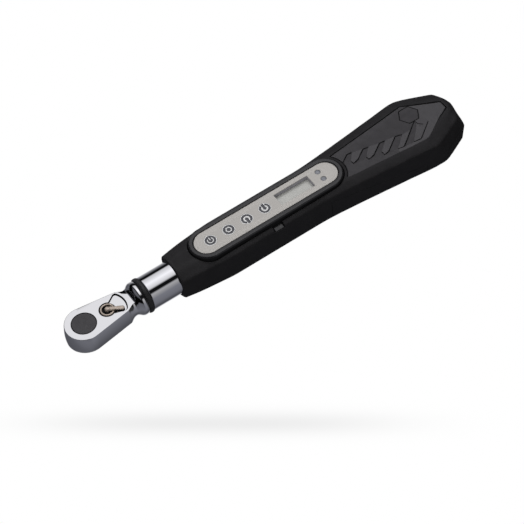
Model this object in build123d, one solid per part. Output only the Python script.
"""Compact 1/4 inch drive electronic torque wrench.

Modelling frame: X runs from the drive axis to the rear end of the handle, Z rises
out of the display face, and z = 0 is the barrel axis. The written frame has its
origin at the centre of the drive square's end face, so write() lifts each piece.
Lengths are in millimetres, angles in degrees.
"""
from build123d import *
import os
import math

os.makedirs("parts", exist_ok=True)

# --- driving dimensions ---
DRIVE_AF = 6.35          # square drive, across flats
DRIVE_END = -13.0        # z of the square's end face
HEAD_R = 9.98            # about the drive axis
HEAD_T = 5.2             # half thickness of the head
TUBE_R, TUBE_IR = 8.9, 7.4
TUBE_X0, TUBE_X1 = 34.2, 100.0
INNER_FIT_R = TUBE_IR - 0.05     # pieces that fit inside the barrel
DISC_R = 6.2             # round top face of the drive gear
GEAR_TEETH = 36
GEAR_TIP, GEAR_ROOT = 7.5, 7.05
PLATE_R = 8.15           # recess for the gear cover plate
BALL_Z = -9.6            # detent ball in the drive square
LEVER_X = 13.3           # reversing lever axis
LEVER_HALF = 32.0        # lever rests this far to either side
PLUNGER_REACH = 2.05     # lever axis to the plunger's tip
PAWL_X = 10.2            # pawl pivot
PAWL_HALF = 4.1          # pawl rocks this far to either side
HUB_R = 3.8
CROSS_PIN_X, ANCHOR_PIN_X = 41.0, 90.0
SPIGOT_R = 4.5
SCREW_XS = (67.0, 97.0)
GAUGE_XS = (65.0, 71.0)  # front ends of the strain gauges
HANDLE_X0 = 50.5
PLATEAU = 9.95           # handle half height
FACE_X0, FACE_X1, FACE_R = 72.0, 141.7, 6.72     # faceplate slot shape
FACE_TOP = 11.35
BEZEL_R, BEZEL_TOP = 9.7, 11.5
OPEN_R = 10.65           # display opening in the handle
KEY_XS = (73.8, 84.5, 95.2, 105.9)
KEY_R = 3.25
LCD_X0, LCD_X1, LCD_W = 113.8, 133.5, 3.71       # window ends and half width
LED_X, LED_Y, LED_R = 139.5, 2.57, 1.45
PCB_Z0, PCB_Z1 = 6.8, 7.6
BAY_X0, BAY_X1 = 138.8, 189.6                    # battery bay
COVER_X0, COVER_X1 = 136.8, 191.5
COVER_Z0, COVER_Z1 = 4.5, -3.0   # height of the cover's side edge at each end
COVER_GAP = 0.1
SIDES = (1, -1)
FROM_BASE = (Align.CENTER, Align.CENTER, Align.MIN)


# --- helpers ---
def cyl_z(x, y, z0, z1, r):
    return Pos(x, y, (z0 + z1) / 2) * Cylinder(r, z1 - z0)


def cyl_x(x0, x1, r, y=0.0, z=0.0):
    return Pos((x0 + x1) / 2, y, z) * Rot(0, 90, 0) * Cylinder(r, x1 - x0)


def block(x0, x1, y0, y1, z0, z1):
    return Pos((x0 + x1) / 2, (y0 + y1) / 2, (z0 + z1) / 2) * Box(x1 - x0, y1 - y0, z1 - z0)


def span(side, y0, y1):
    """The y range y0..y1 on the given side, in rising order."""
    return sorted((side * y0, side * y1))


def slot(x0, x1, r, z0, z1):
    return Pos((x0 + x1) / 2, 0, z0) * extrude(SlotCenterToCenter(x1 - x0, 2 * r), z1 - z0)


def polygon(points):
    return make_face(Polyline(*points, close=True))


def prism(points, z0, z1):
    return Pos(0, 0, z0) * extrude(polygon(points), z1 - z0)


def turned(points):
    """Solid of revolution about the barrel axis from (x, radius) points."""
    return revolve(Plane.XZ * polygon(points), Axis.X)


def flipped(points):
    """Points mirrored to the other side of y = 0, in reverse order."""
    return [(x, -y) for x, y in reversed(points)]


def ring(x, y, z0, z1, outer_r, inner_r):
    return cyl_z(x, y, z0, z1, outer_r) - cyl_z(x, y, z0 - 1, z1 + 1, inner_r)


def coil(r, wire_r, length, turns):
    path = Helix(pitch=length / turns, height=length, radius=r)
    return sweep(Plane(path @ 0, z_dir=path % 0) * Circle(wire_r), path=path)


def polar(r, angle, x=0.0):
    return (x + r * math.cos(math.radians(angle)), r * math.sin(math.radians(angle)))


def swing(x, angle):
    """Rotation about the vertical axis through (x, 0)."""
    return Pos(x, 0) * Rot(0, 0, angle) * Pos(-x, 0)


def edges_at_z(shape, z):
    return [e for e in shape.edges() if abs(e.center().Z - z) < 1e-3]


def largest(shape):
    return max(shape.solids(), key=lambda solid: solid.volume)


def write(name, shape):
    placed = Pos(0, 0, -DRIVE_END) * shape
    # moving a list of shapes gives a plain list, which has no solids()
    if hasattr(placed, "solids"):
        solids = placed.solids()
    else:
        solids = [solid for item in placed for solid in item.solids()]
    out = solids[0] if len(solids) == 1 else Compound(children=list(solids))
    export_step(out, f"parts/{name}.step")


def write_set(name, shapes):
    write(name, Compound(children=[shape.solid() for shape in shapes]))


# --- ratchet head: flat round head, round neck flared to a collar, spigot ---
TANGENT_ANGLE = 81.47    # where the head's arc meets its straight flanks
# plan of the slab's tail: x, y
TAIL = [(20.3, 7.1), (21.3, 6.75), (22.3, 6.25), (23.2, 5.65), (24.0, 5.1), (25.0, 4.6)]
NECK_R, COLLAR_R = 6.95, 8.95
# profile of neck, collar and spigot: x, radius
NECK = [(20.5, 0), (20.5, NECK_R), (26.2, NECK_R), (26.9, 7.15), (27.6, 7.65), (28.3, 8.3),
        (28.9, 8.78), (29.5, COLLAR_R), (31.5, COLLAR_R), (31.7, COLLAR_R - 0.2), (31.7, 7.2),
        (36.0, 7.2), (36.0, SPIGOT_R), (46.0, SPIGOT_R), (46.0, 0)]
# one side of the pawl pocket: x, y
POCKET = [(5.4, 5.25), (6.2, 6.85), (7.4, 6.95), (12.0, 4.4), (15.6, 2.7)]


def head_slab():
    start = polar(HEAD_R, TANGENT_ANGLE)
    arc = ThreePointArc(start, (-HEAD_R, 0), (start[0], -start[1]))
    upper = Polyline(start, TAIL[0]) + Spline(*TAIL)
    mirrored = [(x, -y) for x, y in TAIL]
    lower = Polyline((start[0], -start[1]), mirrored[0]) + Spline(*mirrored)
    plan = make_face(Curve() + [arc] + upper.edges() + lower.edges()
                     + [Line(TAIL[-1], mirrored[-1])])
    slab = Pos(0, 0, -HEAD_T) * extrude(plan, 2 * HEAD_T)
    rim = [e for e in slab.edges()
           if abs(abs(e.center().Z) - HEAD_T) < 1e-3 and e.center().X < 21]
    return chamfer(rim, 0.28)


def head_neck():
    """Neck with its front cut to the slab's thickness, ending in a small cove."""
    neck = turned(NECK)
    cove_x, cove_r, half_w, top = 25.2, 0.9, 12, 12
    cove_z = HEAD_T + cove_r
    for side in SIDES:
        cut = (block(15, cove_x, -half_w, half_w, HEAD_T, top)
               + Pos(cove_x, 0, cove_z) * Rot(90, 0, 0) * Cylinder(cove_r, 2 * half_w)
               + block(25.0, 26.1, -half_w, half_w, cove_z, top))
        if side < 0:
            cut = mirror(cut, Plane.XY)
        neck = neck - cut
    return neck


def lever_fan():
    """Fan-shaped area swept by the lever arm."""
    angle = math.radians(LEVER_HALF + 0.5)
    arm_half, reach, fan_r = 1.5, 12, 10.15
    start = (LEVER_X - math.sin(angle) * arm_half, math.cos(angle) * arm_half)
    end = (start[0] + reach * math.cos(angle), start[1] + reach * math.sin(angle))
    upper = [start, end]
    fan = polygon(upper + [(LEVER_X + 14, 0)] + flipped(upper))
    return fan & (Pos(LEVER_X, 0) * Circle(fan_r))


def ratchet_head():
    head = head_slab() + head_neck()
    # gear chamber, plate recess and snap ring groove, opened from below
    head = head - cyl_z(0, 0, -HEAD_T - 1, 3.2, 7.62)
    head = head - cyl_z(0, 0, -HEAD_T - 1, -3.5, PLATE_R)
    head = head - cyl_z(0, 0, -5.02, -4.48, PLATE_R + 0.45)
    head = head - cyl_z(0, 0, 0, HEAD_T + 1, DISC_R + 0.04)
    head = head - prism(POCKET + [(16.4, 0)] + flipped(POCKET) + [(3, 0)], -3.1, 3.1)
    head = head - Pos(0, 0, HEAD_T - 1.0) * extrude(lever_fan(), 4)
    # lever hub seat and stem bore
    head = head - cyl_z(LEVER_X, 0, 3.7, HEAD_T + 1, HUB_R + 0.05)
    head = head - cyl_z(LEVER_X, 0, -4.2, 4, 1.65)
    # pin holes for the pawl and through the spigot
    head = head - cyl_z(PAWL_X, 0, -4.0, 3.6, 0.75)
    return head - cyl_z(CROSS_PIN_X, 0, -10, 10, 1.0)


write("ratchet_head", ratchet_head())


# --- drive gear with the square, its detent and the cover below the gear ---
def gear_outline(tip_half, root_half, clearance=0.0):
    """Gear outline; the half widths of tip and root lands are angles."""
    points = []
    for i in range(GEAR_TEETH):
        tip = i * 360 / GEAR_TEETH
        root = tip + 360 / GEAR_TEETH / 2
        points += [polar(GEAR_TIP + clearance, tip - tip_half),
                   polar(GEAR_TIP + clearance, tip + tip_half),
                   polar(GEAR_ROOT + clearance, root - root_half),
                   polar(GEAR_ROOT + clearance, root + root_half)]
    return polygon(points)


def detent_bore(r, length):
    """Bore along +Y from the drive axis, at the ball's height."""
    return Pos(0, 0, BALL_Z) * Rot(-90, 0, 0) * Cylinder(r, length, align=FROM_BASE)


def drive_gear():
    gear = Pos(0, 0, -3.4) * extrude(gear_outline(0.5, 0.6), 6.5)
    gear = gear + cyl_z(0, 0, 3.0, HEAD_T - 0.02, DISC_R)
    gear = gear + cyl_z(0, 0, -5.5, -3.3, 4.8)
    square = Pos(0, 0, DRIVE_END) * extrude(RectangleRounded(DRIVE_AF, DRIVE_AF, 0.5), 8.0)
    gear = gear + chamfer(edges_at_z(square, DRIVE_END), 0.35)
    # the narrower mouth keeps the ball in
    gear = gear - Pos(0, -2.1, 0) * detent_bore(1.22, 5.1)
    return gear - detent_bore(1.05, 6)


def snap_ring():
    gap = prism([(0, 0), (-10, 3.2), (-10, -3.2)], -6, -4)
    return ring(0, 0, -4.98, -4.52, PLATE_R + 0.4, PLATE_R - 0.75) - gap


write("drive_gear", drive_gear())
write("detent_ball", Pos(0, 2.5, BALL_Z) * Sphere(1.19))
write("detent_spring", Pos(0, -1.89, BALL_Z) * Rot(-90, 0, 0) * coil(0.9, 0.15, 2.95, 5))
write("gear_cover_plate", ring(0, 0, -4.44, -3.52, PLATE_R - 0.03, 4.85))
write("snap_ring", snap_ring())


# --- pawl: rocks on its pin, teeth at both ends ---
def pawl():
    half = [polar(8.25, 18), polar(7.0, 23), polar(6.8, 43), polar(8.7, 44.5),
            polar(9.15, 41), (10.9, 3.3), (11.9, 2.2)]
    plan = polygon([(8.3, 0)] + half + [(11.9, 0)] + flipped(half))
    plan = (plan - Pos(LEVER_X, 0) * Circle(PLUNGER_REACH + 0.06)
            - Pos(PAWL_X, 0) * Circle(0.79))
    # a slightly grown gear, cut at steps through the rocking range, forms the teeth
    cutter = gear_outline(0.9, 0.2, clearance=0.05)
    steps = 12
    for k in range(steps + 1):
        rock = -PAWL_HALF + 2 * PAWL_HALF * k / steps
        plan = plan - swing(PAWL_X, -rock) * cutter
    face = sorted(plan.faces(), key=lambda f: -f.area)[0]
    return swing(PAWL_X, PAWL_HALF) * (Pos(0, 0, -2.9) * extrude(face, 5.8))


write("pawl", pawl())
write("pawl_pin", cyl_z(PAWL_X, 0, -3.9, 3.5, 0.735))

# --- reversing lever: cupped hub, centre post, arm over the rim, stem ---
HUB_TOP = 5.42
ARM_LEN, ARM_HALF = 7.35, 1.15
ARM_Z0, ARM_TOP = 4.55, 6.3
PLUNGER_R = 0.58
PLUNGER_HOLE = 2.7       # depth of the plunger's bore
LEVER_SET = swing(LEVER_X, -LEVER_HALF)


def reversing_lever():
    lever = cyl_z(LEVER_X, 0, 3.75, HUB_TOP, HUB_R)
    lever = chamfer(edges_at_z(lever, HUB_TOP), 0.15)
    lever = lever - cyl_z(LEVER_X, 0, 4.6, 6, 2.75)
    lever = lever + cyl_z(LEVER_X, 0, 4.2, 6.25, 1.3)
    tip_x = LEVER_X + ARM_LEN
    arm = (block(LEVER_X, tip_x, -ARM_HALF, ARM_HALF, 5.45, ARM_TOP)
           + cyl_z(tip_x, 0, ARM_Z0, ARM_TOP, ARM_HALF)
           + block(LEVER_X + 4.2, tip_x, -ARM_HALF, ARM_HALF, ARM_Z0, ARM_TOP))
    lever = lever + arm
    # stem, clip groove and plunger bore
    lever = lever + cyl_z(LEVER_X, 0, -4.1, 4.0, 1.6)
    lever = lever - ring(LEVER_X, 0, 2.68, 3.02, 2.5, 1.35)
    bore = Cylinder(0.62, PLUNGER_HOLE + 1, align=FROM_BASE)
    return lever - Pos(LEVER_X, 0, 0) * Rot(0, -90, 0) * Pos(0, 0, 1.7 - PLUNGER_HOLE) * bore


def lever_clip():
    gap = block(LEVER_X + 0.6, LEVER_X + 4, -0.9, 0.9, 2, 4)
    return ring(LEVER_X, 0, 2.72, 2.98, 1.85, 1.38) - gap


plunger = Pos(LEVER_X - PLUNGER_REACH + PLUNGER_R, 0, 0) * Sphere(PLUNGER_R)
plunger_spring = Pos(LEVER_X + 0.9, 0, 0) * Rot(0, -90, 0) * coil(0.42, 0.1, 1.7, 4)
write("reversing_lever", LEVER_SET * reversing_lever())
write("lever_clip", LEVER_SET * lever_clip())
write("lever_plunger", LEVER_SET * plunger)
write("plunger_spring", LEVER_SET * plunger_spring)

# --- seal, barrel and sensing beam ---
# seal profile: x, radius
SEAL = [(31.75, 7.25), (31.75, 8.8), (32.1, 9.25), (32.6, 9.38),
        (33.3, 9.38), (33.8, 9.25), (34.15, 8.8), (34.15, 7.25)]
BEAM_HALF_W, BEAM_HALF_H = 3.0, 3.6


def barrel_tube():
    tube = cyl_x(TUBE_X0, TUBE_X1, TUBE_R)
    tube = chamfer([e for e in tube.edges() if abs(e.center().X - TUBE_X0) < 1e-3], 0.3)
    tube = tube - cyl_x(TUBE_X0 - 1, TUBE_X1 + 1, TUBE_IR)
    # the top is open under the display
    tube = tube - block(62.0, TUBE_X1 + 1, -10, 10, 4.6, 10)
    for x in SCREW_XS:
        tube = tube - cyl_z(x, 0, -10, -5, 1.5)
    return tube - cyl_z(ANCHOR_PIN_X, 0, -8.3, -4, 1.5)


def sensing_beam():
    """Socket for the head's spigot, flat-sided bar, and a tail pinned in the barrel."""
    beam = (cyl_x(36.1, 48.0, INNER_FIT_R) - cyl_x(35, 46.1, SPIGOT_R + 0.05)
            - cyl_z(CROSS_PIN_X, 0, -10, 10, 1.0))
    beam = beam + block(47.5, 84.0, -BEAM_HALF_W, BEAM_HALF_W, -BEAM_HALF_H, BEAM_HALF_H)
    tail = cyl_x(84.0, 94.0, INNER_FIT_R) - block(80, 96, -10, 10, 4.4, 10)
    return beam + tail - cyl_z(ANCHOR_PIN_X, 0, -10, 10, 1.5)


def gauge_wire(side, x):
    y_range = span(side, 3.05, 3.5)
    return block(x, x + 0.5, *y_range, 1.6, 3.0) + block(x, x + 0.5, *y_range, 3.0, 7.0)


write("collar_o_ring", turned(SEAL))
write("barrel_tube", barrel_tube())
write("sensing_beam", sensing_beam())
write("head_cross_pin", cyl_z(CROSS_PIN_X, 0, -7.0, 7.0, 0.97))
write("beam_anchor_pin", cyl_z(ANCHOR_PIN_X, 0, -8.2, 4.3, 1.47))
write_set("strain_gauges", [block(x, x + 4, *span(side, 3.03, 3.2), -1.5, 1.5)
                            for side in SIDES for x in GAUGE_XS])
write_set("gauge_wires", [gauge_wire(side, x + 2) for side in SIDES for x in GAUGE_XS])

# --- handle: soft faceted section, widening to a faceted rear end ---
# x, plateau half width, crease half width, crease height
STATIONS = [
    (50.5, 4.0, 9.7, 6.2), (55, 4.3, 10.2, 6.8), (60, 4.8, 10.8, 7.1), (66, 5.4, 11.3, 7.4),
    (78, 6.4, 12.3, 7.7), (132, 8.0, 12.3, 7.7), (138, 8.4, 12.6, 7.7), (144, 8.8, 13.1, 7.75),
    (150, 9.2, 13.6, 7.8), (162, 10.2, 14.75, 7.9), (180, 11.9, 16.65, 8.0),
    (192, 13.4, 17.9, 8.2), (198, 13.9, 18.4, 8.3), (224, 15.0, 19.7, 8.5)]
# rear end in plan: z, then one side's outline as (x, y)
REAR_LEVELS = [
    (PLATEAU + 0.02, [(185, 19.0), (194.5, 14.0), (206.5, 8.9), (216.5, 4.4), (217.6, 0.8)]),
    (7.8, [(185, 21.8), (200.9, 17.3), (215.9, 10.5), (218.9, 5.1), (220.0, 0.9)]),
    (0.0, [(185, 24.5), (202.5, 19.7), (220.6, 10.9), (222.1, 5.4), (222.1, 1.0)]),
    (-7.8, [(185, 23.4), (205.1, 18.3), (218.8, 11.7), (220.9, 5.7), (221.6, 1.0)]),
    (-PLATEAU - 0.02, [(185, 19.5), (197.5, 14.0), (207.5, 9.2), (216.9, 4.5), (217.8, 0.8)])]
# one side of the grip inlay behind its front arc: x, y
INLAY = [(180, 10.4), (187, 11.1), (197, 12.2), (206, 7.2), (215.3, 2.25)]
INLAY_ARC_R, INLAY_FRONT_HALF = 11.8, 7.5
# grip grooves: x, y, length
GROOVES = [(158, 1.5, 5.5), (167, 0, 8), (175.5, -1.5, 10.5), (184.5, -2.5, 12.5),
           (194, -2.5, 13)]
SKIN_X0, SKIN_X1 = HANDLE_X0 + 60, 199.0         # inner forms behind the cover


def handle_section(x, plateau, crease, crease_z, inset):
    """Closed ring of ten corners at station x, moved inwards by inset."""
    corners = [(plateau - 0.35 * inset, PLATEAU - inset),
               (crease - inset, crease_z - 0.75 * inset),
               (crease + 0.3 - inset, 0.0),
               (crease - inset, -crease_z + 0.75 * inset),
               (plateau - 0.35 * inset, -PLATEAU + inset)]
    points = [Vector(x, y, z) for y, z in corners]
    points += [Vector(x, -y, z) for y, z in reversed(corners)]
    return Wire.make_polygon(points, close=True)


def handle_form(x0, x1, inset=0.0):
    """Handle shape between x0 and x1, interpolated between the stations."""
    rows = []
    for a, b in zip(STATIONS, STATIONS[1:]):
        if b[0] <= x0 or a[0] >= x1:
            continue
        for x in (max(a[0], x0), min(b[0], x1)):
            k = (x - a[0]) / (b[0] - a[0])
            row = tuple(a[i] + k * (b[i] - a[i]) for i in range(4))
            if not rows or row[0] - rows[-1][0] > 1e-6:
                rows.append(row)
    return Solid.make_loft([handle_section(*row, inset) for row in rows], True)


def rear_ring(z, points):
    full = [(40, -26), (40, 26)] + points + flipped(points)
    return Wire.make_polygon([Vector(x, y, z) for x, y in full], close=True)


def inlay_outline(grow=0.0):
    """Inlay plan: front edge concentric with the bezel's rear end."""
    n = 10
    half = math.degrees(math.asin(INLAY_FRONT_HALF / INLAY_ARC_R))
    front = [polar(INLAY_ARC_R - grow, -half + 2 * half * i / n, FACE_X1) for i in range(n + 1)]
    first = (front[0][0], front[0][1] - grow)
    last = (front[-1][0], front[-1][1] + grow)
    upper = [(x + (grow if x > 200 else 0), y + grow) for x, y in INLAY]
    return [first] + front[1:-1] + [last] + upper + flipped(upper)


def cover_zone(gap=0.0):
    """Everything below the battery cover's side edge."""
    x0, x1, low = COVER_X0 - gap, COVER_X1 + gap, -30
    side = polygon([(x0, low), (x0, COVER_Z0 + gap), (x1, COVER_Z1 + gap), (x1, low)])
    return Plane.XZ * extrude(side, 30, both=True)


def handle_body(outer):
    # display opening with a ledge
    body = (outer - slot(FACE_X0 - 0.2, FACE_X1, OPEN_R, 6.0, 20)
            - slot(FACE_X0, FACE_X1, 8.6, 4.9, 7))
    # bore for the barrel and room under the display
    body = body - cyl_x(HANDLE_X0 - 1, TUBE_X1 + 1.0, TUBE_R + 0.04)
    body = (body - block(64.0, 135.2, -8.6, 8.6, 0.0, 6.4)
            - block(TUBE_X1 + 0.5, 135.2, -9.4, 9.4, -7.6, 6.4))
    # latch notches beside the bezel
    for s in SIDES:
        body = body - prism([(101.5, 9.3 * s), (109.0, 9.3 * s),
                             (109.0, 15 * s), (101.5, 15 * s)], 5.4, 12)
    # battery bay and its passage to the display
    body = body - (handle_form(BAY_X0, BAY_X1, inset=1.9)
                   & block(BAY_X0, BAY_X1, -30, 30, -12, 6.4))
    body = body - block(134, 139.5, -6, 6, 3.2, 6.3)
    # hollow rear block and inlay recess
    body = body - handle_form(193.3, 207.0, inset=2.4)
    body = body - prism(inlay_outline(0.22), 8.6, 12)
    # room for the cover, leaving a lip inside it beyond each end of the bay
    lips = handle_form(SKIN_X0, SKIN_X1, inset=2.0) & (
        block(100, BAY_X0, -30, 30, -20, 20) + block(BAY_X1, SKIN_X1, -30, 30, -20, 20))
    body = body - (cover_zone(COVER_GAP) - lips)
    # counterbored screw holes into the barrel from below
    for x in SCREW_XS:
        body = body - cyl_z(x, 0, -12, -7, 1.6) - cyl_z(x, 0, -12, -9.0, 2.9)
    return largest(body)


def battery_cover(outer):
    """Lower rear skin of the handle."""
    skin = outer - handle_form(SKIN_X0, SKIN_X1, inset=1.7)
    return largest(skin & cover_zone())


def grip_inlay():
    inlay = prism(inlay_outline(), 8.7, PLATEAU)
    for x, y, length in GROOVES:
        groove = extrude(RectangleRounded(length, 3.0, 0.5), 2)
        inlay = inlay - Pos(x, y, PLATEAU - 0.5) * Rot(0, 0, 48) * groove
    return inlay


rear_form = Solid.make_loft([rear_ring(z, points) for z, points in REAR_LEVELS], True)
handle_outer = handle_form(HANDLE_X0, 223.0) & rear_form
write("handle_body", handle_body(handle_outer))
write("battery_cover", battery_cover(handle_outer))
write("grip_inlay", grip_inlay())


# --- display module ---
def display_bezel():
    bezel = slot(FACE_X0, FACE_X1, BEZEL_R, 6.35, BEZEL_TOP)
    bezel = chamfer(edges_at_z(bezel, BEZEL_TOP), 0.9)
    bezel = bezel - slot(FACE_X0, FACE_X1, FACE_R + 0.04, 10.8, 13)
    bezel = bezel - slot(FACE_X0, FACE_X1, BEZEL_R - 1.5, 5, 10.0)
    for x in KEY_XS:
        bezel = bezel - cyl_z(x, 0, 9, 12, KEY_R - 0.9)
    bezel = bezel - block(LCD_X0 - 0.5, LCD_X1 + 0.5, -LCD_W - 0.5, LCD_W + 0.5, 9, 12)
    for side in SIDES:
        bezel = bezel - cyl_z(LED_X, LED_Y * side, 9, 12, LED_R + 0.05)
        # side latch
        latch_y = span(side, BEZEL_R - 0.6, BEZEL_R + 0.85)
        bezel = bezel + block(102.5, 107.0, *latch_y, 6.5, 8.6)
    return bezel


def faceplate():
    plate = slot(FACE_X0, FACE_X1, FACE_R, 10.82, FACE_TOP)
    for x in KEY_XS:
        plate = plate - cyl_z(x, 0, 10, 12, KEY_R + 0.05)
    plate = plate - block(LCD_X0, LCD_X1, -LCD_W, LCD_W, 10, 12)
    for side in SIDES:
        plate = plate - cyl_z(LED_X, LED_Y * side, 10, 12, LED_R + 0.05)
    return plate


def circuit_board():
    board = slot(FACE_X0, FACE_X1 - 1, 7.9, PCB_Z0, PCB_Z1)
    for x in GAUGE_XS:
        for side in SIDES:
            # notch for a gauge wire
            y = 3.25 * side
            board = board - block(x + 1.8, x + 2.7, y - 0.5, y + 0.5, 6, 9)
    return board


def indicator_led(y):
    dome = Pos(LED_X, y, 9.95) * Sphere(LED_R) & cyl_z(LED_X, y, 10, 12, LED_R)
    return cyl_z(LED_X, y, PCB_Z1 + 0.02, 10.9, LED_R) + dome


write("display_bezel", display_bezel())
write("faceplate", faceplate())
for name, x in zip(("key_power", "key_mode", "key_up", "key_down"), KEY_XS):
    write(name, cyl_z(x, 0, 11.16, FACE_TOP + 0.03, KEY_R) + cyl_z(x, 0, 8.78, 11.2, 1.6))
write_set("dome_switches", [cyl_z(x, 0, PCB_Z1 + 0.02, 7.9, 2.2) + cyl_z(x, 0, 7.8, 8.38, 1.5)
                            for x in KEY_XS])
write("circuit_board", circuit_board())
UNDER_BOARD = PCB_Z0 - 0.02
write_set("board_chips", [block(112.0, 119.0, -3.5, 3.5, 5.3, UNDER_BOARD),
                          block(122.0, 126.0, -2.5, 2.5, 5.6, UNDER_BOARD),
                          block(104.0, 108.0, 2.0, 5.0, 5.6, UNDER_BOARD)])
write("buzzer", cyl_z(130.0, 0, 3.6, UNDER_BOARD, 3.4) - cyl_z(130.0, 0, 3.0, 4.2, 0.8))
write("lcd_module", block(111.9, 135.4, -5.6, 5.6, 8.3, 9.96))
write("lcd_connector", block(112.5, 134.8, 3.6, 5.2, PCB_Z1 + 0.02, 8.28))
write_set("indicator_leds", [indicator_led(LED_Y * side) for side in SIDES])
write("bezel_gasket", slot(FACE_X0, FACE_X1, 9.65, 6.02, 6.33)
      - slot(FACE_X0, FACE_X1, 8.7, 5, 7))

# --- power: two cells side by side, facing opposite ways ---
CELL_R, CELL_Y, CELL_Z = 5.2, 5.35, -2.5
CELL_X0, CELL_X1 = 143.4, 184.9
NUB_LEN = 1.1
TRAY_X0, TRAY_X1, TRAY_TOP = 139.2, 189.2, 4.4
TRAY_WALL = 1.2


def battery_tray():
    tray = block(TRAY_X0, TRAY_X1, -9.9, 9.9, 2.95, TRAY_TOP)
    for x in (TRAY_X0, TRAY_X1 - TRAY_WALL):
        tray = tray + block(x, x + TRAY_WALL, -10.0, 10.0, -5.6, TRAY_TOP)
    # thin rib between the cells
    return tray + block(TRAY_X0, TRAY_X1, -0.07, 0.07, -3.0, 3.0)


def cell(y, nub_x):
    return (cyl_x(CELL_X0, CELL_X1, CELL_R, y, CELL_Z)
            + cyl_x(nub_x, nub_x + NUB_LEN, 1.9, y, CELL_Z))


def contact(plate_x, stud_x0, stud_x1, y):
    return (block(plate_x, plate_x + 0.3, y - 4, y + 4, CELL_Z - 4, CELL_Z + 4)
            + cyl_x(stud_x0, stud_x1, 1.4, y, CELL_Z))


def battery_spring(x, y, length):
    return Pos(x, y, CELL_Z) * Rot(0, 90, 0) * coil(3.2, 0.35, length, 3)


write("battery_tray", battery_tray())
write_set("aaa_cells", [cell(CELL_Y, CELL_X0 - NUB_LEN), cell(-CELL_Y, CELL_X1)])
write_set("contact_plates", [contact(140.45, 140.7, 142.25, CELL_Y),
                             contact(187.65, 186.05, 187.7, -CELL_Y)])
write_set("battery_springs", [battery_spring(185.35, CELL_Y, 2.2),
                              battery_spring(140.85, -CELL_Y, 2.1)])


# --- screws that hold the handle to the barrel ---
def handle_screw(x):
    screw = cyl_z(x, 0, -9.9, -9.03, 2.75) + cyl_z(x, 0, -9.1, -7.3, 1.45)
    return screw - Pos(x, 0, -10.2) * extrude(RegularPolygon(1.25, 6), 0.8)


write_set("handle_screws", [handle_screw(x) for x in SCREW_XS])
